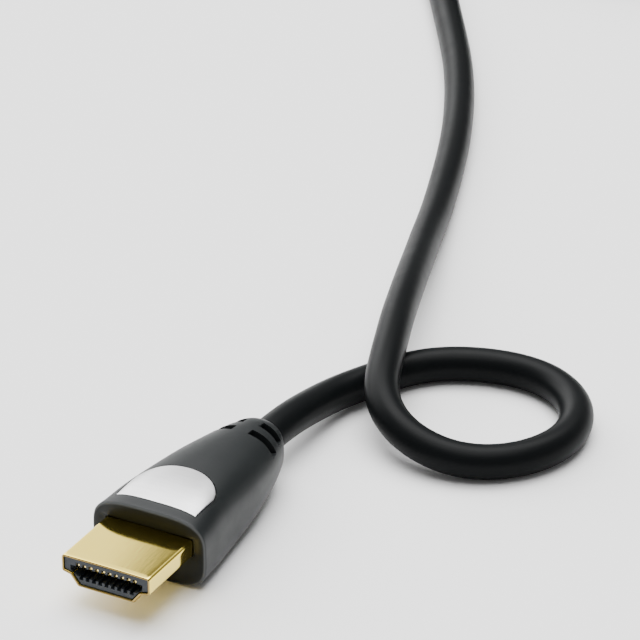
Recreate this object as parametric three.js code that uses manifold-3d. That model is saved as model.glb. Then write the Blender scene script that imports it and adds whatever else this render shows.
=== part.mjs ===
// A digital audio and video cable, 1.5 m long, with a gold-plated plug at each end.
// Millimetres, +Z up. The near plug lies along Y with its mating end towards -Y. The origin is
// on the floor, under the middle of the near plug.

import * as THREE from 'three';
import { mergeVertices } from 'three/addons/utils/BufferGeometryUtils.js';
import Module from 'manifold-3d';

const wasm = await Module();
wasm.setup();

// Plug shell: a folded metal tube, wide at the top and with slanted lower corners
const shellWidth = 13.9;
const shellHeight = 4.45;
const shellWall = 0.3;
const shellSide = 2.6; // upright part of each side, from the top
const shellBottomWidth = 8.9;
const shellLedge = 1.3; // how far the ledge under each upright side runs in
const shellLedgeDrop = 0.3;
const shellReach = 11.45; // length in front of the moulding
const shellInset = 6; // length held inside the moulding

// Insulator: the block inside the shell, with the tongue slot and the contact grooves
const insulatorClear = 0.1; // to the shell's inner wall
const insulatorRecess = 0.25; // its face lies this far behind the shell's rim
const tongueSlotWidth = 11.4;
const tongueSlotFloorWidth = 9.4;
const tongueSlotTop = 0.8; // above the shell's axis
const tongueSlotFloor = -0.7;
const tongueSlotCorner = 0; // height at which the slot's ends start to slant in
const tongueSlotDepth = 9;
const grooveWidth = 0.62;
const grooveHeight = 0.5;

// Contacts: ten in the roof of the slot and nine in its floor
const contactPitch = 1;
const upperContacts = 10;
const lowerContacts = 9;
const contactWidth = 0.45;
const contactThick = 0.25;
const contactProud = 0.15; // how far a contact stands out of its groove
const upperContactStart = 0.5; // behind the insulator's face
const lowerContactStart = 2.2;
const contactEnd = 0.2; // from a contact's rear end to the end of its groove

// Moulded body. Each station gives shares of the length, of the half width and of the greatest
// heights above and below the shell's axis, and the roundness of the section's upper and lower
// half (2 is an ellipse, higher is squarer)
const bodyLength = 33.15;
const bodyHalfWidth = 9.05;
const bodyAbove = 5.98;
const bodyBelow = 5.75;
const bodyStations = [
  { at: 0, wide: 0.957, above: 0.784, below: 0.897, upper: 3.6, lower: 4.1 },
  { at: 0.004, wide: 0.987, above: 0.833, below: 0.947, upper: 3.6, lower: 4.1 },
  { at: 0.012, wide: 0.997, above: 0.861, below: 0.97, upper: 3.55, lower: 4.1 },
  { at: 0.057, wide: 0.976, above: 0.894, below: 0.981, upper: 3.35, lower: 4.3 },
  { at: 0.141, wide: 0.946, above: 0.955, below: 0.995, upper: 3.2, lower: 4.45 },
  { at: 0.226, wide: 0.907, above: 0.992, below: 1, upper: 3.05, lower: 4.5 },
  { at: 0.34, wide: 0.862, above: 1, below: 1, upper: 2.85, lower: 4.3 },
  { at: 0.453, wide: 0.822, above: 0.984, below: 0.982, upper: 2.65, lower: 4 },
  { at: 0.566, wide: 0.778, above: 0.941, below: 0.939, upper: 2.5, lower: 3.65 },
  { at: 0.679, wide: 0.712, above: 0.886, below: 0.87, upper: 2.35, lower: 3.4 },
  { at: 0.764, wide: 0.651, above: 0.832, below: 0.783, upper: 2.3, lower: 3.3 },
  { at: 0.82, wide: 0.602, above: 0.799, below: 0.722, upper: 2.25, lower: 3.25 },
  { at: 0.877, wide: 0.54, above: 0.759, below: 0.67, upper: 2.15, lower: 3.2 },
  { at: 0.922, wide: 0.482, above: 0.708, below: 0.626, upper: 2.2, lower: 3.2 },
  { at: 0.959, wide: 0.409, above: 0.632, below: 0.574, upper: 2.2, lower: 3 },
  { at: 0.984, wide: 0.338, above: 0.544, below: 0.522, upper: 2.1, lower: 2.8 },
  { at: 1, wide: 0.307, above: 0.475, below: 0.496, upper: 2, lower: 2.5 },
];
const bodySides = 48;
const bodyFlat = 5.6; // the flat underside, under the shell's axis
const shellClear = 0.1; // between the shell and the pocket that holds it

// Label plate: a thin metal plate let into the top of the moulding
const plateHalfWidth = 6.3;
const plateFront = 2.15; // behind the moulding's front face
const plateStraight = 4.6; // length of its straight sides
const plateArc = 4.7; // length of its half-round rear end
const plateThick = 0.5;
const plateClear = 0.1;

// Strain relief: two slots on each side of the moulding's neck
const reliefFirst = 25.4; // front edge of the first, from the moulding's front face
const reliefPitch = 3.3;
const reliefSlotLength = 1.6;
const reliefSlotDepth = 1;
const reliefSlotInner = 1.32; // from the middle line
const reliefSlotLow = 1.95; // lower end, above the shell's axis

// Cord
const cordDiameter = 5.2;
const cordSides = 10;
const cordStep = 9;
const seat = 0.3; // gap where one piece meets the next
const cordRadius = cordDiameter / 2;

// Coil of the length that is put away, its tie, and the plug at the far end
const coilCentre = [-48.5, 244.6];
const coilMeanRadius = 30.7;
const coilAcross = 3;
const coilLayers = 2;
const coilSegments = 48;
const coilCorner = 2;
const tieWidth = 6;
const tieThick = 0.6;
const tieAngle = -61.5; // where on the coil, in degrees from +X
const farPlace = [8.7, 252.5];
const farTurn = 28.5; // degrees about Z

const reliefSlots = [reliefFirst, reliefFirst + reliefPitch];
const plugLength = shellReach + bodyLength;
const axisHeight = bodyFlat; // shell axis and cord above the floor
const plugBack = plugLength / 2;
const coilHalfWidth = (coilAcross * cordDiameter) / 2;
const coilBottom = tieThick + seat;
const coilTop = coilBottom + coilLayers * cordDiameter;

const metalGold = new THREE.MeshStandardMaterial({ color: 0xd9b65a, roughness: 0.2, metalness: 1 });
const insulatorGrey = new THREE.MeshStandardMaterial({ color: 0x3b434c, roughness: 0.55 });
const bodyGrey = new THREE.MeshStandardMaterial({ color: 0x2d3032, roughness: 0.45 });
const plateMetal = new THREE.MeshStandardMaterial({ color: 0xcfd0d0, roughness: 0.3, metalness: 1 });
const cordBlack = new THREE.MeshStandardMaterial({ color: 0x131516, roughness: 0.4 });
const tieBlack = new THREE.MeshStandardMaterial({ color: 0x1b1b1c, roughness: 0.6 });

// A closed mesh of triangles as a solid that can be cut and joined
function toSolid(geometry) {
  const bare = geometry.clone();
  bare.deleteAttribute('normal');
  bare.deleteAttribute('uv');
  const merged = mergeVertices(bare, 1e-5);
  return new wasm.Manifold(new wasm.Mesh({
    numProp: 3,
    vertProperties: new Float32Array(merged.attributes.position.array),
    triVerts: new Uint32Array(merged.index.array),
  }));
}

function toGeometry(solid) {
  const mesh = solid.getMesh();
  const geometry = new THREE.BufferGeometry();
  geometry.setAttribute('position', new THREE.BufferAttribute(mesh.vertProperties.slice(), 3));
  geometry.setIndex(new THREE.BufferAttribute(mesh.triVerts.slice(), 1));
  geometry.computeVertexNormals();
  return geometry;
}

function shapeOf(points) {
  return new THREE.Shape(points.map(([x, y]) => new THREE.Vector2(x, y)));
}

// An outline in X and Z, extruded along +Y from the given place
function prismAlongY(outline, start, length, hole) {
  const shape = shapeOf(outline);
  if (hole) shape.holes.push(shapeOf(hole));
  const geometry = new THREE.ExtrudeGeometry(shape, { depth: length, bevelEnabled: false });
  geometry.rotateX(Math.PI / 2);
  geometry.translate(0, start + length, 0);
  return geometry;
}

// An outline in X and Y, extruded up +Z from the given height
function prismAlongZ(outline, bottom, height) {
  const geometry = new THREE.ExtrudeGeometry(shapeOf(outline), { depth: height, bevelEnabled: false });
  geometry.translate(0, 0, bottom);
  return geometry;
}

function block([x0, x1], [y0, y1], [z0, z1]) {
  const geometry = new THREE.BoxGeometry(x1 - x0, y1 - y0, z1 - z0);
  geometry.translate((x0 + x1) / 2, (y0 + y1) / 2, (z0 + z1) / 2);
  return geometry;
}

// The shell's outline, grown by `grow`, or shrunk where it is negative
function shellOutline(grow) {
  const top = shellHeight / 2 + grow;
  const bottom = -shellHeight / 2 - grow;
  const side = shellWidth / 2 + grow;
  const sideEnd = shellHeight / 2 - shellSide - grow;
  const ledge = shellWidth / 2 - shellLedge + grow;
  const foot = shellBottomWidth / 2 + grow;
  const right = [[foot, bottom], [ledge, sideEnd - shellLedgeDrop], [side, sideEnd], [side, top]];
  const left = right.map(([x, z]) => [-x, z]).reverse();
  return [...right, ...left];
}

// The moulding's outer form as rings of points on rounded sections, pulled in by `inset`
function bodyLoft(inset) {
  const positions = [];
  const index = [];
  const power = (value, square) => Math.sign(value) * Math.abs(value) ** (2 / square);
  for (const { at, wide, above, below, upper, lower } of bodyStations) {
    for (let i = 0; i < bodySides; i += 1) {
      const angle = (2 * Math.PI * (i + 0.5)) / bodySides;
      const square = Math.sin(angle) > 0 ? upper : lower;
      const tall = Math.sin(angle) > 0 ? above * bodyAbove : below * bodyBelow;
      const x = (wide * bodyHalfWidth - inset) * power(Math.cos(angle), square);
      const z = (tall - inset) * power(Math.sin(angle), square);
      positions.push(x, shellReach + at * bodyLength, z);
    }
  }
  const rings = bodyStations.length;
  for (let ring = 0; ring < rings - 1; ring += 1) {
    for (let i = 0; i < bodySides; i += 1) {
      const next = (i + 1) % bodySides;
      const [a, b] = [ring * bodySides + i, ring * bodySides + next];
      const [c, d] = [a + bodySides, b + bodySides];
      index.push(a, c, b, b, c, d);
    }
  }
  const frontMiddle = positions.length / 3;
  positions.push(0, shellReach, 0);
  positions.push(0, plugLength, 0);
  const lastRing = (rings - 1) * bodySides;
  for (let i = 0; i < bodySides; i += 1) {
    const next = (i + 1) % bodySides;
    index.push(frontMiddle, i, next);
    index.push(frontMiddle + 1, lastRing + next, lastRing + i);
  }
  const geometry = new THREE.BufferGeometry();
  geometry.setAttribute('position', new THREE.Float32BufferAttribute(positions, 3));
  geometry.setIndex(index);
  return geometry;
}

// The plate's outline seen from above: a straight front, short sides and a half-round rear
function plateOutline(grow) {
  const front = shellReach + plateFront - grow;
  const sideEnd = shellReach + plateFront + plateStraight;
  const outline = [[-plateHalfWidth - grow, front], [plateHalfWidth + grow, front]];
  const steps = 16;
  for (let i = 0; i <= steps; i += 1) {
    const angle = (Math.PI * i) / steps;
    outline.push([
      (plateHalfWidth + grow) * Math.cos(angle),
      sideEnd + (plateArc + grow) * Math.sin(angle),
    ]);
  }
  return outline;
}

function lowered(solid, depth) {
  return solid.translate([0, 0, -depth]);
}

function plugShell() {
  const outer = shellOutline(0);
  const inner = shellOutline(-shellWall);
  return prismAlongY(outer, 0, shellReach + shellInset, inner);
}

function tongueSlot() {
  const half = tongueSlotWidth / 2;
  const halfFloor = tongueSlotFloorWidth / 2;
  const outline = [
    [halfFloor, tongueSlotFloor], [half, tongueSlotCorner], [half, tongueSlotTop],
    [-half, tongueSlotTop], [-half, tongueSlotCorner], [-halfFloor, tongueSlotFloor],
  ];
  return prismAlongY(outline, 0, insulatorRecess + tongueSlotDepth);
}

// Middle of each contact across the plug, and whether it is in the roof of the slot
function contactPlaces() {
  const row = (count, upper) => Array.from({ length: count }, (_, i) => (
    { x: (i - (count - 1) / 2) * contactPitch, upper }
  ));
  return [...row(upperContacts, true), ...row(lowerContacts, false)];
}

function plugInsulator() {
  const outline = shellOutline(-shellWall - insulatorClear);
  const length = shellReach + shellInset - insulatorRecess;
  let solid = toSolid(prismAlongY(outline, insulatorRecess, length));
  solid = solid.subtract(toSolid(tongueSlot()));
  const grooveEnd = insulatorRecess + tongueSlotDepth;
  for (const { x, upper } of contactPlaces()) {
    const across = [x - grooveWidth / 2, x + grooveWidth / 2];
    const middle = (tongueSlotTop + tongueSlotFloor) / 2;
    const heights = upper
      ? [middle, tongueSlotTop + grooveHeight]
      : [tongueSlotFloor - grooveHeight, middle];
    solid = solid.subtract(toSolid(block(across, [0, grooveEnd], heights)));
  }
  return toGeometry(solid);
}

function contact({ x, upper }) {
  const start = insulatorRecess + (upper ? upperContactStart : lowerContactStart);
  const end = insulatorRecess + tongueSlotDepth - contactEnd;
  const across = [x - contactWidth / 2, x + contactWidth / 2];
  const tip = upper ? tongueSlotTop - contactProud : tongueSlotFloor + contactProud;
  const heights = upper ? [tip, tip + contactThick] : [tip - contactThick, tip];
  return block(across, [start, end], heights);
}

function plugBody() {
  const loft = toSolid(bodyLoft(0));
  const core = toSolid(bodyLoft(reliefSlotDepth));
  const [low, high] = [-20, 20];
  const underside = block([low, high], [low, high + plugLength], [low, -bodyFlat]);
  const pocket = prismAlongY(
    shellOutline(shellClear), low, shellReach + shellInset + seat - low,
  );
  const plateSpace = toSolid(prismAlongZ(plateOutline(plateClear), 0, high))
    .subtract(lowered(loft, plateThick + plateClear));
  let solid = loft.subtract(toSolid(underside)).subtract(toSolid(pocket)).subtract(plateSpace);
  for (const start of reliefSlots) {
    for (const side of [-1, 1]) {
      const across = side < 0 ? [low, -reliefSlotInner] : [reliefSlotInner, high];
      const along = [shellReach + start, shellReach + start + reliefSlotLength];
      const slot = toSolid(block(across, along, [reliefSlotLow, high])).subtract(core);
      solid = solid.subtract(slot);
    }
  }
  return toGeometry(solid);
}

function labelPlate() {
  const loft = toSolid(bodyLoft(0));
  const plate = toSolid(prismAlongZ(plateOutline(0), 0, 2 * bodyAbove));
  return toGeometry(plate.intersect(loft).subtract(lowered(loft, plateThick)));
}

function named(name, geometry, material) {
  const mesh = new THREE.Mesh(geometry, material);
  mesh.name = name;
  return mesh;
}

// One whole plug, with its mating end at -Y and its underside on the floor
function plug(prefix, contactPrefix) {
  const group = new THREE.Group();
  group.add(
    named(`${prefix}_shell`, plugShell(), metalGold),
    named(`${prefix}_insulator`, plugInsulator(), insulatorGrey),
    named(`${prefix}_body`, plugBody(), bodyGrey),
    named(`${prefix}_label_plate`, labelPlate(), plateMetal),
  );
  contactPlaces().forEach((place, i) => {
    const number = String(i + 1).padStart(2, '0');
    group.add(named(`${contactPrefix}_${number}`, contact(place), metalGold));
  });
  for (const piece of group.children) piece.position.set(0, -plugBack, axisHeight);
  return group;
}

const farAxis = new THREE.Vector2(0, 1).rotateAround(
  new THREE.Vector2(), THREE.MathUtils.degToRad(farTurn),
);

// The stretch that lies loose: out of the near plug, down to the floor, round one loop, over
// itself in a low hump and away to the coil. Each point is x, y and the cord's middle height.
const floorHeight = cordRadius;
const runPoints = [
  [0, plugBack + seat, axisHeight],
  [0, 27, 5.4],
  [0, 32, 4.8],
  [0, 37, 3.9],
  [0.6, 43, 3],
  [3.2, 50.2, floorHeight],
  [8.1, 57.6, floorHeight],
  [15.9, 61.9, floorHeight],
  [24.7, 62.3, floorHeight],
  [32.1, 57.8, floorHeight],
  [35.8, 48.9, floorHeight],
  [33.6, 40.5, floorHeight],
  [26.3, 34.6, 2.8],
  [16.4, 34.6, 4.5],
  [8.2, 41.7, 7.3],
  [5.5, 50.2, 8.3],
  [2.1, 58.6, 8.3],
  [-0.8, 67.2, 7.7],
  [-4.1, 75.8, 6.6],
  [-7.1, 84.4, 5.3],
  [-10.4, 92.9, 4],
  [-13.3, 101.6, 3],
  [-16.4, 110.2, floorHeight],
  [-22.7, 127.2, floorHeight],
  [-30.1, 143.9, floorHeight],
  [-38.7, 160, floorHeight],
  [-48.5, 175.6, floorHeight],
  [-53.4, 183.4, floorHeight],
  [-62.2, 196.6, floorHeight],
  [-70.4, 209.7, floorHeight],
];

// The short stretch from the coil to the far plug
const tailPoints = [
  [-47.3, 286.1, 5.4],
  [-39.4, 290.4, 4.1],
  [-27.2, 293.4, 2.9],
  [-15.3, 289.9, 2.7],
  [-8.2, 283.5, 3.3],
];
const tailLead = 4; // straight stretch behind the far plug

function cordTube(points) {
  const route = new THREE.CatmullRomCurve3(
    points.map(([x, y, z]) => new THREE.Vector3(x, y, z)), false, 'centripetal',
  );
  const section = Array.from({ length: cordSides }, (_, i) => {
    const angle = (2 * Math.PI * i) / cordSides;
    return [cordRadius * Math.cos(angle), cordRadius * Math.sin(angle)];
  });
  return new THREE.ExtrudeGeometry(shapeOf(section), {
    steps: Math.max(3, Math.round(route.getLength() / cordStep)),
    extrudePath: route,
    bevelEnabled: false,
  });
}

// The outer shape of the coil's turns: a ring with rounded edges
function coilRing() {
  const inner = coilMeanRadius - coilHalfWidth;
  const outer = coilMeanRadius + coilHalfWidth;
  const c = coilCorner;
  const profile = [
    [inner + c, coilBottom], [outer - c, coilBottom], [outer, coilBottom + c],
    [outer, coilTop - c], [outer - c, coilTop], [inner + c, coilTop],
    [inner, coilTop - c], [inner, coilBottom + c], [inner + c, coilBottom],
  ];
  const ring = new THREE.LatheGeometry(
    profile.map(([r, z]) => new THREE.Vector2(r, z)), coilSegments,
  );
  ring.rotateX(Math.PI / 2);
  ring.translate(coilCentre[0], coilCentre[1], 0);
  return ring;
}

// A band round the coil's turns at one place
function coilTie() {
  const band = (grow) => {
    const [left, right] = [-coilHalfWidth - grow, coilHalfWidth + grow];
    const [bottom, top] = [coilBottom - grow, coilTop + grow];
    return [[left, bottom], [right, bottom], [right, top], [left, top]];
  };
  const geometry = prismAlongY(band(seat + tieThick), -tieWidth / 2, tieWidth, band(seat));
  geometry.translate(coilMeanRadius, 0, 0);
  return geometry;
}

const tie = named('cord_tie', coilTie(), tieBlack);
tie.rotation.z = THREE.MathUtils.degToRad(tieAngle);
tie.position.set(coilCentre[0], coilCentre[1], 0);

const farPlug = plug('far', 'far_contact');
farPlug.rotation.z = THREE.MathUtils.degToRad(farTurn);
farPlug.position.set(farPlace[0], farPlace[1], 0);

// A point on the far plug's axis, at a distance behind its neck
function behindFarPlug(distance) {
  const reach = plugBack + distance;
  return [farPlace[0] + farAxis.x * reach, farPlace[1] + farAxis.y * reach, axisHeight];
}

const cable = new THREE.Group();
cable.add(
  plug('plug', 'contact'),
  named('cord_run', cordTube(runPoints), cordBlack),
  named('cord_coil', coilRing(), cordBlack),
  tie,
  named('cord_tail', cordTube([...tailPoints, behindFarPlug(tailLead), behindFarPlug(seat)]), cordBlack),
  farPlug,
);

export default cable;
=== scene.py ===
import math

import bpy
import numpy as np
from mathutils import Matrix, Vector


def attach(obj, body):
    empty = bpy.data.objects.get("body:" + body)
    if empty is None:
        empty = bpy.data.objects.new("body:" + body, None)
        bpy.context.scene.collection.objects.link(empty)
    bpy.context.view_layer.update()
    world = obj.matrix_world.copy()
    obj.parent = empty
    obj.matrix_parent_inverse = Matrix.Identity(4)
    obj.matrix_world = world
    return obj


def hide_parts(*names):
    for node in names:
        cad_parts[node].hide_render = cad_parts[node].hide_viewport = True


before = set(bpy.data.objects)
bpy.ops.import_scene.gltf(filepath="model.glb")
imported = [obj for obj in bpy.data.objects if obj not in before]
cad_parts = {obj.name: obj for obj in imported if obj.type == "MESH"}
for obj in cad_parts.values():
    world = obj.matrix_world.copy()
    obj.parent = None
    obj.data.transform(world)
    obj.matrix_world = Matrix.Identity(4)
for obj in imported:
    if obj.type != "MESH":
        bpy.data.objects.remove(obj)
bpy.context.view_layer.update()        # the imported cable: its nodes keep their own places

# An audio and video cable: a gold-plated plug at each end, one loose loop, the rest coiled and tied.
# Lengths in the dictionaries are millimetres unless a note says otherwise.

mm = 0.001


# Camera, at the photo's angle

cameraView = {
    "target": (-0.0154, 0.0669, 0.0),  # metres, the point on the floor in the middle of the frame
    "distance": 0.6207,  # metres
    "azimuth": 28.56,  # degrees
    "elevation": 28.06,
    "lens": 225,
}


def makeCamera():
    turn, lift = math.radians(cameraView["azimuth"]), math.radians(cameraView["elevation"])
    back = Vector((math.sin(turn) * math.cos(lift), -math.cos(turn) * math.cos(lift), math.sin(lift)))
    data = bpy.data.cameras.new("camera")
    data.lens = cameraView["lens"]
    data.clip_start, data.clip_end = 0.01, 20
    camera = bpy.data.objects.new("camera", data)
    bpy.context.scene.collection.objects.link(camera)
    camera.location = Vector(cameraView["target"]) + back * cameraView["distance"]
    camera.rotation_mode = "QUATERNION"
    camera.rotation_quaternion = (-back).to_track_quat("-Z", "Y")
    bpy.context.scene.camera = camera


makeCamera()
print("camera ready")


# Mesh makers

# A surface from rows of points. Each row closes on itself. Rows join their neighbours with
# four-sided faces; the first and last row close on their own middle point, or on each other.
def gridPiece(name, grid, wrapRows=False, uv=None, rim=None, sharp=35):
    rows, cols = grid.shape[:2]
    index = np.arange(rows * cols).reshape(rows, cols)
    near = index if wrapRows else index[:-1]
    far = np.roll(index, -1, axis=0) if wrapRows else index[1:]
    quads = np.stack([near, np.roll(near, -1, axis=1), np.roll(far, -1, axis=1), far], -1).reshape(-1, 4)
    points = [grid.reshape(-1, 3)]
    faces = quads.tolist()
    used = rows * cols
    for row, flip in () if wrapRows else ((0, True), (rows - 1, False)):
        ring = index[row]
        after = np.roll(ring, -1)
        middle = np.full(cols, used)
        fan = np.stack([after, ring, middle] if flip else [ring, after, middle], -1)
        faces += fan.tolist()
        points.append(grid[row].mean(axis=0, keepdims=True))
        used += 1
    mesh = bpy.data.meshes.new(name)
    mesh.from_pydata(np.concatenate(points).tolist(), [], faces)
    mesh.shade_smooth()
    mesh.set_sharp_from_angle(angle=math.radians(sharp))
    if uv is not None:
        layer = mesh.uv_layers.new(name="surface")
        corners = np.empty(len(mesh.loops), dtype=np.int32)
        mesh.loops.foreach_get("vertex_index", corners)
        flat = np.zeros((used, 2))
        flat[: rows * cols] = uv.reshape(-1, 2)
        layer.data.foreach_set("uv", flat[corners].ravel())
    # the rim mark carries painted light: painted shade on the shell's front rim, a painted highlight
    # along the body's front edge
    if rim is not None:
        marks = mesh.attributes.new("rim", "FLOAT", "POINT")
        spread = np.zeros(used)
        spread[: rows * cols] = np.repeat(rim, cols)
        marks.data.foreach_set("value", spread)
    piece = bpy.data.objects.new(name, mesh)
    bpy.context.scene.collection.objects.link(piece)
    return piece


# Natural cubic spline: second derivatives solved from the tridiagonal system of the knots,
# then each place takes the cubic of its own span.
def splineThrough(knots, values, at):
    step = np.diff(knots)
    count = len(knots)
    system = np.zeros((count, count))
    system[0, 0] = system[-1, -1] = 1
    inner = np.arange(1, count - 1)
    system[inner, inner - 1] = step[:-1]
    system[inner, inner] = 2 * (step[:-1] + step[1:])
    system[inner, inner + 1] = step[1:]
    slope = np.diff(values, axis=0) / step[:, None]
    right = np.zeros_like(values)
    right[1:-1] = 6 * (slope[1:] - slope[:-1])
    second = np.linalg.solve(system, right)
    span = np.clip(np.searchsorted(knots, at, side="right") - 1, 0, count - 2)
    h = step[span][:, None]
    a = (knots[span + 1] - at)[:, None] / h
    b = 1 - a
    bend = ((a**3 - a) * second[span] + (b**3 - b) * second[span + 1]) * h**2 / 6
    return a * values[span] + b * values[span + 1] + bend


def smoothStep(value):
    held = np.clip(value, 0, 1)
    return held * held * (3 - 2 * held)


# Cord: loose run, coil and tail, one length

cord = {
    "diameter": 0.0052,  # metres, as the rest of this dictionary
    "length": 1.41,
    "sides": 28,
    "ringStep": 0.0011,  # between the tube's rings
    "evenFrom": 0.106,  # the stretch past the loop, whose line is evened out
    "evenTo": 0.3,
    "evenFade": 0.02,  # at each end of that stretch
    "evenOut": 14,  # rings on each side that take part
    "samples": 8000,  # of the spline, before its even steps are taken
    "intoNeck": 0.0022,  # how far it starts inside each plug's neck
    "farLead": (0.004, 0.0003),  # points straight behind the far plug
    "exit": (0.0, 0.0223, 0.0056),
    "run": [
        (0, 0.0226, 0.0056), (0, 0.027, 0.0054), (0, 0.032, 0.0048), (0, 0.037, 0.0039),
        (0.0006, 0.043, 0.003), (0.0032, 0.0502, 0.0026), (0.0081, 0.0576, 0.0026),
        (0.0159, 0.0619, 0.0026), (0.0247, 0.0623, 0.0026), (0.0321, 0.0578, 0.0026),
        (0.0358, 0.0489, 0.0026), (0.0336, 0.0405, 0.0026), (0.0263, 0.0346, 0.0028),
        (0.0164, 0.0346, 0.0045), (0.0082, 0.0417, 0.0073), (0.0055, 0.0502, 0.0083),
        (0.0021, 0.0586, 0.0083), (-0.0008, 0.0672, 0.0077), (-0.0041, 0.0758, 0.0066),
        (-0.0071, 0.0844, 0.0053), (-0.0104, 0.0929, 0.004), (-0.0133, 0.1016, 0.003),
        (-0.0164, 0.1102, 0.0026), (-0.0227, 0.1272, 0.0026), (-0.0301, 0.1439, 0.0026),
        (-0.0387, 0.16, 0.0026), (-0.0485, 0.1756, 0.0026), (-0.0534, 0.1834, 0.0026),
        (-0.0622, 0.1966, 0.0026), (-0.0704, 0.2097, 0.0026),
    ],
    "tail": [
        (-0.0473, 0.2861, 0.0054), (-0.0394, 0.2904, 0.0041), (-0.0272, 0.2934, 0.0029),
        (-0.0153, 0.2899, 0.0027), (-0.0082, 0.2835, 0.0033),
    ],
}

coil = {
    "centre": (-0.0485, 0.2446),  # metres
    "middleRadius": 0.0307,
    "entry": 208.57,  # degrees, where the run meets the outer turn
    "turns": 5.25,
    "pointsPerTurn": 24,
    "tieAngle": -61.5,
    "stepShare": 0.125,  # of a turn, over which the cord steps in, up or out
    "stepsIn": (0.875, 1.875),
    "stepUp": 2.75,
    "stepsOut": (3.625, 4.625),
    "tieReach": 0.28,  # radians on each side of the tie, over which the turns come down again
}

tieBand = {
    "width": 6,
    "thick": 0.6,
    "gap": 0.3,
    "corner": 1.2,  # radius of the loop's corners
    "edge": 0.12,  # how far the outer edges are drawn in
    "swell": 0.02,
}

plug = {"length": 44.6, "axisHeight": 5.6}
farPlug = {"place": (0.0087, 0.2525), "turn": 28.5}  # metres and degrees, as the solids lie


# The winding is clockwise. Its turn count fixes its radius and height: the lower layer steps
# in from the outer turn to the inner one, the cord climbs one diameter, and the upper layer
# steps out again. Each step is a smooth ramp over a share of a turn.
def coilPoints():
    d = cord["diameter"]
    turn = np.arange(0, coil["turns"] + 1e-6, 1 / coil["pointsPerTurn"])

    def climb(start):
        return smoothStep((turn - start) / coil["stepShare"])

    inward = sum(climb(start) for start in coil["stepsIn"])
    outward = sum(climb(start) for start in coil["stepsOut"])
    radius = coil["middleRadius"] + d * (1 - inward + outward)
    height = d / 2 + d * climb(coil["stepUp"])
    angle = np.radians(coil["entry"] - 360 * turn)
    # the turns lie on the floor, and are held up a little where the tie passes under them
    away = np.angle(np.exp(1j * (angle - math.radians(coil["tieAngle"]))))
    lift = tieBand["thick"] * mm * np.exp(-((away / coil["tieReach"]) ** 2))
    across = radius * np.cos(angle) + coil["centre"][0]
    along = radius * np.sin(angle) + coil["centre"][1]
    return np.stack([across, along, height + lift], -1)


# A point behind the far plug's neck, on its axis.
def farPoint(behind, height):
    turn = math.radians(farPlug["turn"])
    reach = plug["length"] * mm / 2 + behind
    x = farPlug["place"][0] - math.sin(turn) * reach
    y = farPlug["place"][1] + math.cos(turn) * reach
    return (x, y, height)


# Every point of the route in order, joined by one spline and sampled at even steps.
def cordPath():
    start = (0, cord["exit"][1] - cord["intoNeck"], cord["exit"][2])
    height = plug["axisHeight"] * mm
    ends = [farPoint(behind, height) for behind in (*cord["farLead"], -cord["intoNeck"])]
    route = [start, *cord["run"], *coilPoints().tolist(), *cord["tail"], *ends]
    points = np.array(route, dtype=float)
    knots = np.concatenate([[0], np.cumsum(np.linalg.norm(np.diff(points, axis=0), axis=1))])
    fine = splineThrough(knots, points, np.linspace(0, knots[-1], cord["samples"]))
    run = np.concatenate([[0], np.cumsum(np.linalg.norm(np.diff(fine, axis=0), axis=1))])
    even = np.arange(0, run[-1], cord["ringStep"])
    line = np.stack([np.interp(even, run, fine[:, axis]) for axis in range(3)], -1)
    # past the loop the line moves to its own mean, weighted by a bell over a short window
    reach = cord["evenOut"]
    bell = np.exp(-np.linspace(-2, 2, 2 * reach + 1) ** 2)
    padded = np.pad(line, ((reach, reach), (0, 0)), mode="edge")
    bell /= bell.sum()
    mean = np.stack([np.convolve(padded[:, axis], bell, "valid") for axis in range(3)], -1)
    start, end = cord["evenFrom"], cord["evenTo"]
    fade = cord["evenFade"]
    share = smoothStep((even - start) / fade) * smoothStep((end - even) / fade)
    return line + (mean - line) * share[:, None]


# A circle carried along the path. Its frame is the path's direction, the level direction
# across it and their cross product, so the tube doesn't twist.
def tubeGrid(path, radius, sides):
    ahead = np.gradient(path, axis=0)
    ahead /= np.linalg.norm(ahead, axis=1, keepdims=True)
    across = np.cross(ahead, (0, 0, 1))
    across /= np.linalg.norm(across, axis=1, keepdims=True)
    above = np.cross(across, ahead)
    angle = np.linspace(0, 2 * math.pi, sides, endpoint=False)
    ring = across[:, None] * np.cos(angle)[:, None] + above[:, None] * np.sin(angle)[:, None]
    return path[:, None] + radius * ring


def makeCord():
    path = cordPath()
    grid = tubeGrid(path, cord["diameter"] / 2, cord["sides"])
    along = np.arange(len(path)) * cord["ringStep"]
    around = np.linspace(0, 1, cord["sides"], endpoint=False) * math.pi * cord["diameter"]
    uv = np.stack(np.broadcast_arrays(around[None, :], along[:, None]), -1)
    piece = gridPiece("cord", grid, uv=uv, sharp=60)
    print("cord", round(float(along[-1]), 4), "m")
    return piece, path


cordPiece, cordLine = makeCord()


# Shader maths

# A socket whose arithmetic adds Math nodes to the same material.
class Value:

    def __init__(self, tree, socket):
        self.tree, self.socket = tree, socket

    def math(self, operation, first, second):
        return node(self.tree, "ShaderNodeMath", {"operation": operation}, {0: first, 1: second})

    def __add__(self, other):
        return self.math("ADD", self, other)

    def __radd__(self, other):
        return self.math("ADD", other, self)

    def __mul__(self, other):
        return self.math("MULTIPLY", self, other)

    def __rmul__(self, other):
        return self.math("MULTIPLY", other, self)


def node(tree, kind, settings=None, inputs=None, output=0):
    made = tree.nodes.new(kind)
    for key, setting in (settings or {}).items():
        setattr(made, key, setting)
    for key, given in (inputs or {}).items():
        if isinstance(given, Value):
            tree.links.new(given.socket, made.inputs[key])
        else:
            made.inputs[key].default_value = given
    return Value(tree, made.outputs[output])


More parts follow.
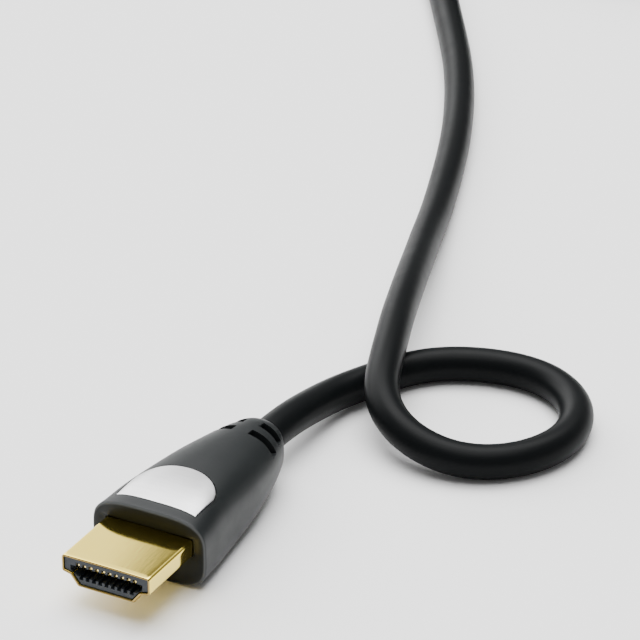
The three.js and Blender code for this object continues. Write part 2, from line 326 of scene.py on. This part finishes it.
# A material with its shader, and short ways to add patterns to it.
class Finish:

    def __init__(self, name, **constants):
        self.material = bpy.data.materials.new(name)
        self.material.use_nodes = True
        self.tree = self.material.node_tree
        self.shader = self.tree.nodes["Principled BSDF"]
        for socket, amount in constants.items():
            self.shader.inputs[socket.replace("_", " ")].default_value = amount

    def place(self, scale, source):
        where = node(self.tree, "ShaderNodeTexCoord", output=source)
        return node(self.tree, "ShaderNodeMapping", {}, {"Vector": where, "Scale": scale})

    # a cloudy pattern from 0 to 1: scale in cycles per metre, stretch for each axis
    def noise(self, scale, detail=3.0, stretch=(1, 1, 1), source="Object", rough=0.55):
        where = self.place(stretch, source)
        return node(self.tree, "ShaderNodeTexNoise", {},
                    {"Vector": where, "Scale": scale, "Detail": detail, "Roughness": rough})

    def mix(self, factor, first, second):
        return node(self.tree, "ShaderNodeMix", {"data_type": "RGBA"},
                    {0: factor, 6: first, 7: second}, output=2)

    def feed(self, socket, value):
        self.tree.links.new(value.socket, self.shader.inputs[socket])

    def mark(self, name):
        return node(self.tree, "ShaderNodeAttribute", {"attribute_name": name}, output=2)

    def bump(self, height, strength, distance):
        made = node(self.tree, "ShaderNodeBump", {},
                    {"Height": height, "Strength": strength, "Distance": distance})
        self.feed("Normal", made)


def goldFinish():
    made = Finish("gold_plate", Metallic=1.0, Roughness=0.1)
    cloud = made.noise(180, detail=2)
    plated = made.mix(cloud, (0.97, 0.74, 0.13, 1), (1.0, 0.79, 0.17, 1))
    # painted shade: the rim mark turns the shell's front rim a darker brown gold
    made.feed("Base Color", made.mix(made.mark("rim"), plated, (0.3, 0.21, 0.07, 1)))
    made.feed("Roughness", made.noise(900, detail=4) * 0.08 + 0.06)
    made.bump(made.noise(2600, detail=2, stretch=(1, 0.12, 1)), 0.12, 0.00002)
    return made.material


def contactFinish():
    made = Finish("contact_gold", Metallic=0.55, Roughness=0.25)
    cloud = made.noise(700, detail=3)
    made.feed("Base Color", made.mix(cloud, (0.95, 0.7, 0.22, 1), (1, 0.82, 0.34, 1)))
    made.feed("Roughness", made.noise(2400, detail=2) * 0.15 + 0.18)
    return made.material


def bodyFinish():
    made = Finish("moulded_body", Roughness=0.42, Specular_IOR_Level=0.16)
    cloud = made.noise(70, detail=3)
    skin = made.mix(cloud, (0.0085, 0.0103, 0.0108, 1), (0.012, 0.0138, 0.0143, 1))
    # painted highlight: the rim mark lightens the moulding to a grey line along its front edge
    made.feed("Base Color", made.mix(made.mark("rim"), skin, (0.07, 0.074, 0.075, 1)))
    made.feed("Roughness", made.noise(420, detail=4) * 0.12 + 0.36)
    made.bump(made.noise(5200, detail=3), 0.25, 0.00003)
    return made.material


def plateFinish():
    made = Finish("label_plate", Metallic=1.0, Roughness=0.3)
    brush = made.noise(1, detail=4, stretch=(700, 16000, 1), source="UV", rough=0.7)
    wide = made.noise(1, detail=2, stretch=(160, 1900, 1), source="UV")
    grain = brush * 0.6 + wide * 0.4
    made.feed("Base Color", made.mix(grain, (0.5, 0.5, 0.505, 1), (0.8, 0.8, 0.805, 1)))
    made.feed("Roughness", brush * 0.18 + 0.24)
    made.bump(brush, 0.3, 0.00003)
    return made.material


def cordFinish():
    made = Finish("cord_jacket", Roughness=0.4, Specular_IOR_Level=0.06)
    cloud = made.noise(60, detail=3)
    made.feed("Base Color", made.mix(cloud, (0.003, 0.0037, 0.004, 1), (0.0046, 0.0053, 0.0057, 1)))
    made.feed("Roughness", made.noise(260, detail=4) * 0.14 + 0.33)
    made.bump(made.noise(1, detail=3, stretch=(2400, 300, 1), source="UV"), 0.18, 0.00004)
    return made.material


def insulatorFinish():
    made = Finish("insulator", Roughness=0.5, Specular_IOR_Level=0.3)
    cloud = made.noise(300, detail=3)
    made.feed("Base Color", made.mix(cloud, (0.02, 0.025, 0.031, 1), (0.028, 0.034, 0.042, 1)))
    made.feed("Roughness", made.noise(900, detail=3) * 0.15 + 0.4)
    made.bump(made.noise(6000, detail=2), 0.2, 0.00002)
    return made.material


def tieFinish():
    made = Finish("tie", Roughness=0.8, Specular_IOR_Level=0.3)
    fibre = made.noise(4200, detail=5, rough=0.7)
    made.feed("Base Color", made.mix(fibre, (0.008, 0.008, 0.009, 1), (0.03, 0.03, 0.032, 1)))
    made.bump(fibre, 0.7, 0.00012)
    return made.material


finishes = {
    "gold_plate": goldFinish(),
    "contact_gold": contactFinish(),
    "moulded_body": bodyFinish(),
    "label_plate": plateFinish(),
    "cord_jacket": cordFinish(),
    "insulator": insulatorFinish(),
    "tie": tieFinish(),
}
print("materials", len(finishes))


# Gives a new piece its finish, body and slot, and hides the solids that it stands for.
def dress(piece, slotName, *nodes):
    piece.data.materials.append(finishes[slotName])
    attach(piece, "root")
    if nodes:
        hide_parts(*nodes)


dress(cordPiece, "cord_jacket", "cord_run", "cord_coil", "cord_tail")


# Plug shell: a folded tube of thin plate

shell = {
    "width": 13.9,
    "height": 4.45,
    "wall": 0.3,
    "side": 2.6,
    "bottomWidth": 8.9,
    "ledge": 1.3,
    "ledgeDrop": 0.3,
    "reach": 11.45,
    "inset": 6,
    "crown": 0.07,
    "crownFrom": 1.5,  # height above the axis, past which the crown shows
    "crownInset": 0.5,
    "cornerRadii": (0.45, 0.25, 0.4, 0.45),  # foot, inner end of the ledge, outer end, top
    "leastRadius": 0.05,
    "arcSteps": 8,
    "spacing": 0.6,  # between the outline's points
    "rimShare": 0.45,  # of the wall, counted as the rim that is painted darker as shade
}


# Half of the outline from foot to top, mirrored, with each corner rounded by an arc.
def shellOutline(grow):
    top = shell["height"] / 2 + grow
    sideEnd = shell["height"] / 2 - shell["side"] - grow
    corners = np.array([
        (shell["bottomWidth"] / 2 + grow, -top),
        (shell["width"] / 2 - shell["ledge"] + grow, sideEnd - shell["ledgeDrop"]),
        (shell["width"] / 2 + grow, sideEnd),
        (shell["width"] / 2 + grow, top),
    ])
    radii = np.array(shell["cornerRadii"])
    turnsIn = np.array([1, -1, 1, 1])
    radii = np.maximum(radii + grow * turnsIn, shell["leastRadius"])
    corners = np.concatenate([corners, corners[::-1] * (-1, 1)])
    radii = np.concatenate([radii, radii[::-1]])
    return roundCorners(corners, radii, shell["arcSteps"])


# The outline at another size, with as many points on each edge as the first one has.
def shellAt(grow):
    plain, grown = shellOutline(0), shellOutline(grow)
    after = np.roll(plain, -1, axis=0)
    lengths = np.linalg.norm(after - plain, axis=1)
    return dividedEdges(grown, np.ceil(lengths / shell["spacing"]))


# Each edge of a closed outline is cut into its count of equal parts.
def dividedEdges(outline, counts):
    parts = np.maximum(1, counts).astype(int)
    edge = np.repeat(np.arange(len(outline)), parts)
    first = np.repeat(np.cumsum(parts) - parts, parts)
    share = (np.arange(parts.sum()) - first) / parts[edge]
    after = np.roll(outline, -1, axis=0)
    return outline[edge] + (after - outline)[edge] * share[:, None]


# The pressed top is not quite flat: it rises by the crown times 1 - (x / half width) squared.
def crowned(outline):
    half = shell["width"] / 2 - shell["crownInset"]
    arch = np.clip(1 - (outline[:, 0] / half) ** 2, 0, 1)
    rise = shell["crown"] * arch * (outline[:, 1] > shell["crownFrom"])
    return outline + np.stack([np.zeros_like(rise), rise], -1)


# Each corner becomes an arc that touches both of its edges.
def roundCorners(corners, radii, steps):
    before = np.roll(corners, 1, axis=0) - corners
    after = np.roll(corners, -1, axis=0) - corners
    before /= np.linalg.norm(before, axis=1, keepdims=True)
    after /= np.linalg.norm(after, axis=1, keepdims=True)
    half = np.arccos(np.clip((before * after).sum(1), -1, 1)) / 2
    middle = before + after
    middle /= np.linalg.norm(middle, axis=1, keepdims=True)
    centre = corners + middle * (radii / np.sin(half))[:, None]
    first = corners + before * (radii / np.tan(half))[:, None] - centre
    last = corners + after * (radii / np.tan(half))[:, None] - centre
    start = np.arctan2(first[:, 1], first[:, 0])
    sweep = np.angle(np.exp(1j * (np.arctan2(last[:, 1], last[:, 0]) - start)))
    part = np.linspace(0, 1, steps + 1)
    angle = start[:, None] + sweep[:, None] * part
    arc = centre[:, None] + radii[:, None, None] * np.stack([np.cos(angle), np.sin(angle)], -1)
    return arc.reshape(-1, 2)


# Plug points, in millimetres from the shell's rim and axis, to metres where the plug lies.
def placed(points, spot):
    moved = points - (0, plug["length"] / 2, -plug["axisHeight"])
    turned = moved @ np.array(Matrix.Rotation(spot["turn"], 3, "Z")).T
    return turned * mm + (*spot["place"], 0)


# The outline carried round the wall's own section: out along the outer face, round the rim
# in a half circle, back along the inner face and round the hidden rear edge.
def shellGrid():
    wall = shell["wall"]
    edge = np.linspace(0, math.pi, 7)
    front = np.stack([-wall / 2 + wall / 2 * np.cos(edge), wall / 2 - wall / 2 * np.sin(edge)], -1)
    rear = shell["reach"] + shell["inset"]
    outerRun = np.array([(0, y) for y in (rear, shell["reach"] + 1, shell["reach"], 6, 1)])
    innerRun = np.array([(-wall, y) for y in (1, 6, shell["reach"], rear)])
    section = np.concatenate([outerRun, front, innerRun])
    # the front rim rows are marked for painted shade, a darker brown gold
    rim = (section[:, 1] <= wall * shell["rimShare"]).astype(float)
    rows = []
    for grow, y in section:
        outline = crowned(shellAt(grow))
        rows.append(np.column_stack([outline[:, 0], np.full(len(outline), y), outline[:, 1]]))
    return np.array(rows), rim


# Moulded body

body = {
    "length": 33.15,
    # stations along the moulding: share of the length, half width, heights above and below the
    # axis, and the roundness of the upper and lower half of the section (2 is an ellipse)
    "stations": [
        (0, 9.06, 5.09, 5.56, 3.6, 4.1), (0.057, 8.84, 5.35, 5.64, 3.35, 4.3),
        (0.141, 8.56, 5.71, 5.72, 3.2, 4.45), (0.226, 8.21, 5.93, 5.75, 3.05, 4.5),
        (0.34, 7.8, 5.98, 5.75, 2.85, 4.3), (0.453, 7.44, 5.88, 5.65, 2.65, 4),
        (0.566, 7.04, 5.63, 5.4, 2.5, 3.65), (0.679, 6.44, 5.3, 5, 2.35, 3.4),
        (0.764, 5.9, 4.98, 4.5, 2.3, 3.3), (0.82, 5.45, 4.78, 4.15, 2.25, 3.25),
        (0.877, 4.89, 4.54, 3.85, 2.15, 3.2), (0.922, 4.36, 4.24, 3.6, 2.2, 3.2),
        (0.959, 3.7, 3.78, 3.3, 2.2, 3), (0.984, 3.06, 3.25, 3, 2.1, 2.8),
        (1, 2.8, 2.84, 2.85, 2, 2.5),
    ],
    "flat": 5.6,  # the flat underside, under the shell's axis
    "edge": 0.4,  # radius of the front edge
    "dish": 0.25,  # how far the front face sinks towards the shell
    "pocketClear": 0.12,
    "pocketDepth": 6.3,
    "pocketSpacing": 0.05,
    "mouth": 2.68,  # radius of the hole that the cord leaves by
    "mouthDepth": 3,
    "mouthEdge": 0.12,
    "mouthRim": 2.8,
    "highlightAt": 0.4,  # share of the front edge's quarter turn where its painted highlight line lies
    "highlightWide": 0.3,
    "columns": 320,
}

relief = {
    "starts": (25.4, 28.7),
    "long": 1.6,
    "deep": 1.0,
    "inner": 1.32,  # from the middle line
    "low": 1.95,  # lower end, above the shell's axis
    "edge": 0.07,
}

plate = {
    "halfWidth": 6.3,
    "front": 2.15,
    "straight": 4.6,
    "arc": 4.7,
    "thick": 0.5,
    "clear": 0.1,
    "recessEdge": 0.08,
    "edge": 0.08,
    "proud": 0.02,
    "middle": 4.6,  # behind the front, the point that the rings shrink to
    "shrink": 6,
}


# Half width, height above, height below, upper and lower roundness at each place.
def bodyCurves(y):
    knots = np.array(body["stations"], dtype=float)
    places = np.atleast_1d(np.asarray(y, dtype=float)) / body["length"]
    return splineThrough(knots[:, 0], knots[:, 1:], places).T


# Distance from the axis to the moulding's surface at each angle: a superellipse, whose upper
# and lower halves have heights and roundness of their own, cut flat underneath.
def sectionRadius(angle, y, inset=0.0):
    wide, above, below, upper, lower = bodyCurves(y)
    high = np.sin(angle) >= 0
    tall = np.where(high, above, below) - inset
    square = np.where(high, upper, lower)
    across = np.abs(np.cos(angle) / (wide - inset)) ** square
    upward = np.abs(np.sin(angle) / tall) ** square
    radius = (across + upward) ** (-1 / square)
    flat = (body["flat"] - inset) / np.maximum(-np.sin(angle), 1e-6)
    return np.minimum(radius, flat)


# Distance from the axis to a closed outline along each angle, by interpolation.
def polarOf(outline, angle):
    lengths = np.linalg.norm(np.roll(outline, -1, axis=0) - outline, axis=1)
    outline = dividedEdges(outline, np.ceil(lengths / body["pocketSpacing"]))
    theta = np.arctan2(outline[:, 1], outline[:, 0])
    order = np.argsort(theta)
    return np.interp(angle, theta[order], np.hypot(*outline[order].T), period=2 * math.pi)


# Rough distance past the plate's edge, seen from above: negative inside it.
def plateEdge(x, y, grow):
    half, front = plate["halfWidth"] + grow, plate["front"] - grow
    sideEnd = plate["front"] + plate["straight"]
    along = np.maximum(y - sideEnd, 0) / (plate["arc"] + grow)
    reach = np.hypot(x / half, along)
    size = np.hypot(x / half**2, along / (plate["arc"] + grow)) / np.maximum(reach, 1e-6)
    rounded = (reach - 1) / np.maximum(size, 1e-6)
    return np.maximum(rounded, front - y)


# Rows run from inside the shell's pocket, out over the front face and its rounded edge, along
# the moulding and into the cord's hole. Each point is an angle and a distance from the axis.
def bodyGrid():
    share = np.linspace(0, 2 * math.pi, body["columns"], endpoint=False)
    angle = share - 0.25 * np.sin(2 * share) + 0.0001  # columns gather at the sides and corners
    inner = polarOf(shellOutline(body["pocketClear"]), angle)
    rows, marks = [], []

    def add(y, radius, mark=0.0):
        x, z = radius * np.cos(angle), radius * np.sin(angle)
        rows.append(np.column_stack([x, np.full_like(angle, y), z]))
        marks.append(mark)

    for y in (body["pocketDepth"], 3, 1, body["dish"] + 0.1):
        add(y, inner)
    rim = sectionRadius(angle, np.zeros_like(angle), body["edge"])
    for part in np.linspace(0, 1, 14):
        add(body["dish"] * (1 - smoothStep(part * 1.15)), inner + (rim - inner) * part)
    for turn in np.linspace(0, math.pi / 2, 9)[1:]:
        y = body["edge"] * (1 - math.cos(turn))
        inset = body["edge"] * (1 - math.sin(turn))
        # a bell over the front edge's turn, marking where the painted highlight line lies
        highlight = math.exp(-((turn / math.pi * 2 - body["highlightAt"]) / body["highlightWide"]) ** 2)
        add(y, sectionRadius(angle, np.full_like(angle, y), inset), highlight)

    soft = relief["edge"]
    long = relief["long"]
    moves = (-2 * soft, -soft, 0, soft, long - soft, long, long + soft, long + 2 * soft)
    slotRows = [start + move for start in relief["starts"] for move in moves]
    plateFront = plate["front"] - plate["clear"]
    # rows lie close together round the plate and the neck's slots
    stretches = [
        np.linspace(0.75, plateFront - 0.06, 9),
        np.linspace(plateFront, 11.9, 82),
        np.linspace(12.2, 25, 40),
        np.linspace(25.1, 31, 46),
        np.linspace(31.1, body["length"], 22),
    ]
    along = np.unique(np.round(np.concatenate([*stretches, slotRows]), 3))
    for y in along:
        radius = sectionRadius(angle, np.full_like(angle, y))
        x, z = radius * np.cos(angle), radius * np.sin(angle)
        inside = [smoothStep((y - start) / soft) * smoothStep((start + relief["long"] - y) / soft)
                  for start in relief["starts"]]
        mask = max(inside) * smoothStep((np.abs(x) - relief["inner"]) / soft)
        mask = mask * smoothStep((z - relief["low"]) / soft)
        radius = radius - relief["deep"] * mask
        x, z = radius * np.cos(angle), radius * np.sin(angle)
        edge = plateEdge(x, np.full_like(x, y), plate["clear"])
        sunk = smoothStep(-edge / plate["recessEdge"]) * (z > 0)
        z = z - (plate["thick"] + plate["clear"]) * sunk
        rows.append(np.column_stack([x, np.full_like(x, y), z]))
        marks.append(0.0)
    for part in np.linspace(0, math.pi / 2, 5)[1:]:
        y = body["length"] + body["mouthEdge"] * math.sin(part)
        radius = body["mouthRim"] - body["mouthEdge"] * (1 - math.cos(part))
        add(y, np.full_like(angle, radius))
    for y in (body["length"] - 0.3, body["length"] - body["mouthDepth"]):
        add(y, np.full_like(angle, body["mouth"]))
    grid = np.array(rows)
    grid[..., 1] += shell["reach"]
    return grid, np.array(marks)


# The plate from above: a straight front, short sides and a half-ellipse behind.
def plateOutline():
    half, front = plate["halfWidth"], plate["front"]
    sideEnd = front + plate["straight"]
    arc = np.linspace(0, math.pi, 64)
    rear = np.stack([half * np.cos(arc), sideEnd + plate["arc"] * np.sin(arc)], -1)
    left = np.stack([np.full(12, -half), np.linspace(sideEnd, front, 14)[1:-1]], -1)
    across = np.linspace(-half, half, 36)
    fore = np.stack([across, np.full(36, front)], -1)
    right = left[::-1] * (-1, 1)
    return np.concatenate([rear, left, fore, right])


# Height of the moulding's top over each point of the plan.
def bodyTopAt(x, y):
    wide, tall, _, square, _ = bodyCurves(y)
    return tall * (1 - np.clip(np.abs(x) / wide, 0, 1) ** square) ** (1 / square)


# Rings of the outline shrunk towards its middle, over the top, round a small edge, down the
# side and back under.
def plateGrid():
    outline = plateOutline()
    middle = np.array([0, plate["front"] + plate["middle"]])
    edge = plate["edge"]
    rings = [(part, 0.0) for part in np.linspace(0.04, 0.985, 30)]
    rings += [(1 - edge / plate["shrink"] * (1 - math.sin(turn)), -edge * (1 - math.cos(turn)))
              for turn in np.linspace(0.2, 1.57, 5)]
    rings += [(1.0, -plate["thick"]), (0.04, -plate["thick"])]
    rows = []
    for part, drop in rings:
        plan = middle + (outline - middle) * part
        top = bodyTopAt(plan[:, 0], plan[:, 1]) + plate["proud"] + drop
        rows.append(np.column_stack([plan[:, 0], plan[:, 1] + shell["reach"], top]))
    return np.array(rows)


spots = {
    "plug": {"place": (0.0, 0.0), "turn": 0.0},
    "far": {"place": farPlug["place"], "turn": math.radians(farPlug["turn"])},
}


def makePlug(prefix):
    spot = spots[prefix]
    made = []
    for part, (grid, rim), slotName, wrap in (
        ("shell", shellGrid(), "gold_plate", True),
        ("body", bodyGrid(), "moulded_body", False),
        ("label_plate", (plateGrid(), None), "label_plate", False),
    ):
        piece = gridPiece(f"{prefix}_{part}_form", placed(grid, spot),
                          wrapRows=wrap, uv=grid[..., :2] * mm, rim=rim)
        dress(piece, slotName, f"{prefix}_{part}")
        made.append(piece)
    print(prefix, "pieces", [len(p.data.polygons) for p in made])
    return made


makePlug("plug")
farPieces = makePlug("far")


# Solids that keep their own shape get their finishes

def finishSolids():
    for name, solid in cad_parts.items():
        for word, finish in (("insulator", "insulator"), ("contact", "contact_gold")):
            if word in name:
                solid.data.materials.clear()
                solid.data.materials.append(finishes[finish])


finishSolids()


# Tie round the coil

# The band's thin section carried round a rounded rectangle that clears the turns.
def tieGrid():
    d = cord["diameter"] / mm
    halfAcross = 1.5 * d + tieBand["gap"]
    low, high = tieBand["thick"], tieBand["thick"] + 2 * d + 2 * tieBand["gap"]
    sides = np.array([(1, -1), (1, 1), (-1, 1), (-1, -1)])
    corners = np.where(sides > 0, (halfAcross, high), (-halfAcross, low))
    thick, half = tieBand["thick"], tieBand["width"] / 2
    drawn, swollen = half - tieBand["edge"], half + tieBand["swell"]
    section = [(0, -half), (0, half), (thick / 2, swollen), (thick, drawn), (thick, -drawn),
               (thick / 2, -swollen)]
    rows = []
    for grow, along in section:
        loop = roundCorners(corners + sides * grow, np.full(4, tieBand["corner"] + grow), 8)
        across = loop[:, 0] + coil["middleRadius"] / mm
        rows.append(np.column_stack([across, np.full(len(loop), along), loop[:, 1]]))
    grid = np.array(rows)
    turn = np.array(Matrix.Rotation(math.radians(coil["tieAngle"]), 3, "Z"))
    return (grid @ turn.T) * mm + (*coil["centre"], 0)


tiePiece = gridPiece("tie_band", tieGrid(), wrapRows=True)
dress(tiePiece, "tie", "cord_tie")


# Floor and light

stageLook = {
    "floorSize": 12.0,  # metres
    "floorColour": (0.95, 0.95, 0.95, 1),
    "ambient": 0.28,
    # each panel of the sky: azimuth from and to (0 is behind the object, growing to the right),
    # elevation from and to, softness of its edges, all in degrees, then its brightness
    "panels": [
        (-95, -44, 10, 46, 8, 5.5),
        (-48, -31, 6, 42, 1.5, 1.7),
        (-85, 25, 47, 76, 8, 8.0),
        (-200, 200, 66, 100, 8, 6.0),
    ],
}


def makeFloor():
    size = stageLook["floorSize"]
    mesh = bpy.data.meshes.new("floor")
    corners = [(-size, -size, 0), (size, -size, 0), (size, size, 0), (-size, size, 0)]
    mesh.from_pydata(corners, [], [(0, 1, 2, 3)])
    floor = bpy.data.objects.new("floor", mesh)
    bpy.context.scene.collection.objects.link(floor)
    material = bpy.data.materials.new("floor_paper")
    material.use_nodes = True
    shader = material.node_tree.nodes["Principled BSDF"]
    shader.inputs["Base Color"].default_value = stageLook["floorColour"]
    shader.inputs["Roughness"].default_value = 0.9
    shader.inputs["Specular IOR Level"].default_value = 0.0
    mesh.materials.append(material)


# Soft panels painted on the sky, so that no lamp stands in any view.
def makeSky():
    world = bpy.data.worlds.new("studio")
    world.use_nodes = True
    tree = world.node_tree
    parts = node(tree, "ShaderNodeTexCoord")
    axis = [node(tree, "ShaderNodeSeparateXYZ", {}, {0: parts}, output=i) for i in range(3)]
    turn = node(tree, "ShaderNodeMath", {"operation": "ARCTAN2"}, {0: axis[0], 1: axis[1]})
    lift = node(tree, "ShaderNodeMath", {"operation": "ARCSINE"}, {0: axis[2]})
    turn, lift = turn * math.degrees(1), lift * math.degrees(1)

    def ramped(value, start, stop):
        return node(tree, "ShaderNodeMapRange", {"interpolation_type": "SMOOTHSTEP"},
                    {"Value": value, "From Min": start, "From Max": stop})

    glow = stageLook["ambient"]
    for left, right, low, high, soft, bright in stageLook["panels"]:
        across = ramped(turn, left - soft, left + soft) * ramped(turn, right + soft, right - soft)
        upward = ramped(lift, low - soft, low + soft) * ramped(lift, high + soft, high - soft)
        mask = across * upward
        glow = glow + mask * bright
    background = tree.nodes["Background"]
    background.inputs["Color"].default_value = (1, 1, 1, 1)
    tree.links.new(glow.socket, background.inputs["Strength"])
    bpy.context.scene.world = world


makeFloor()
makeSky()
print("stage ready")
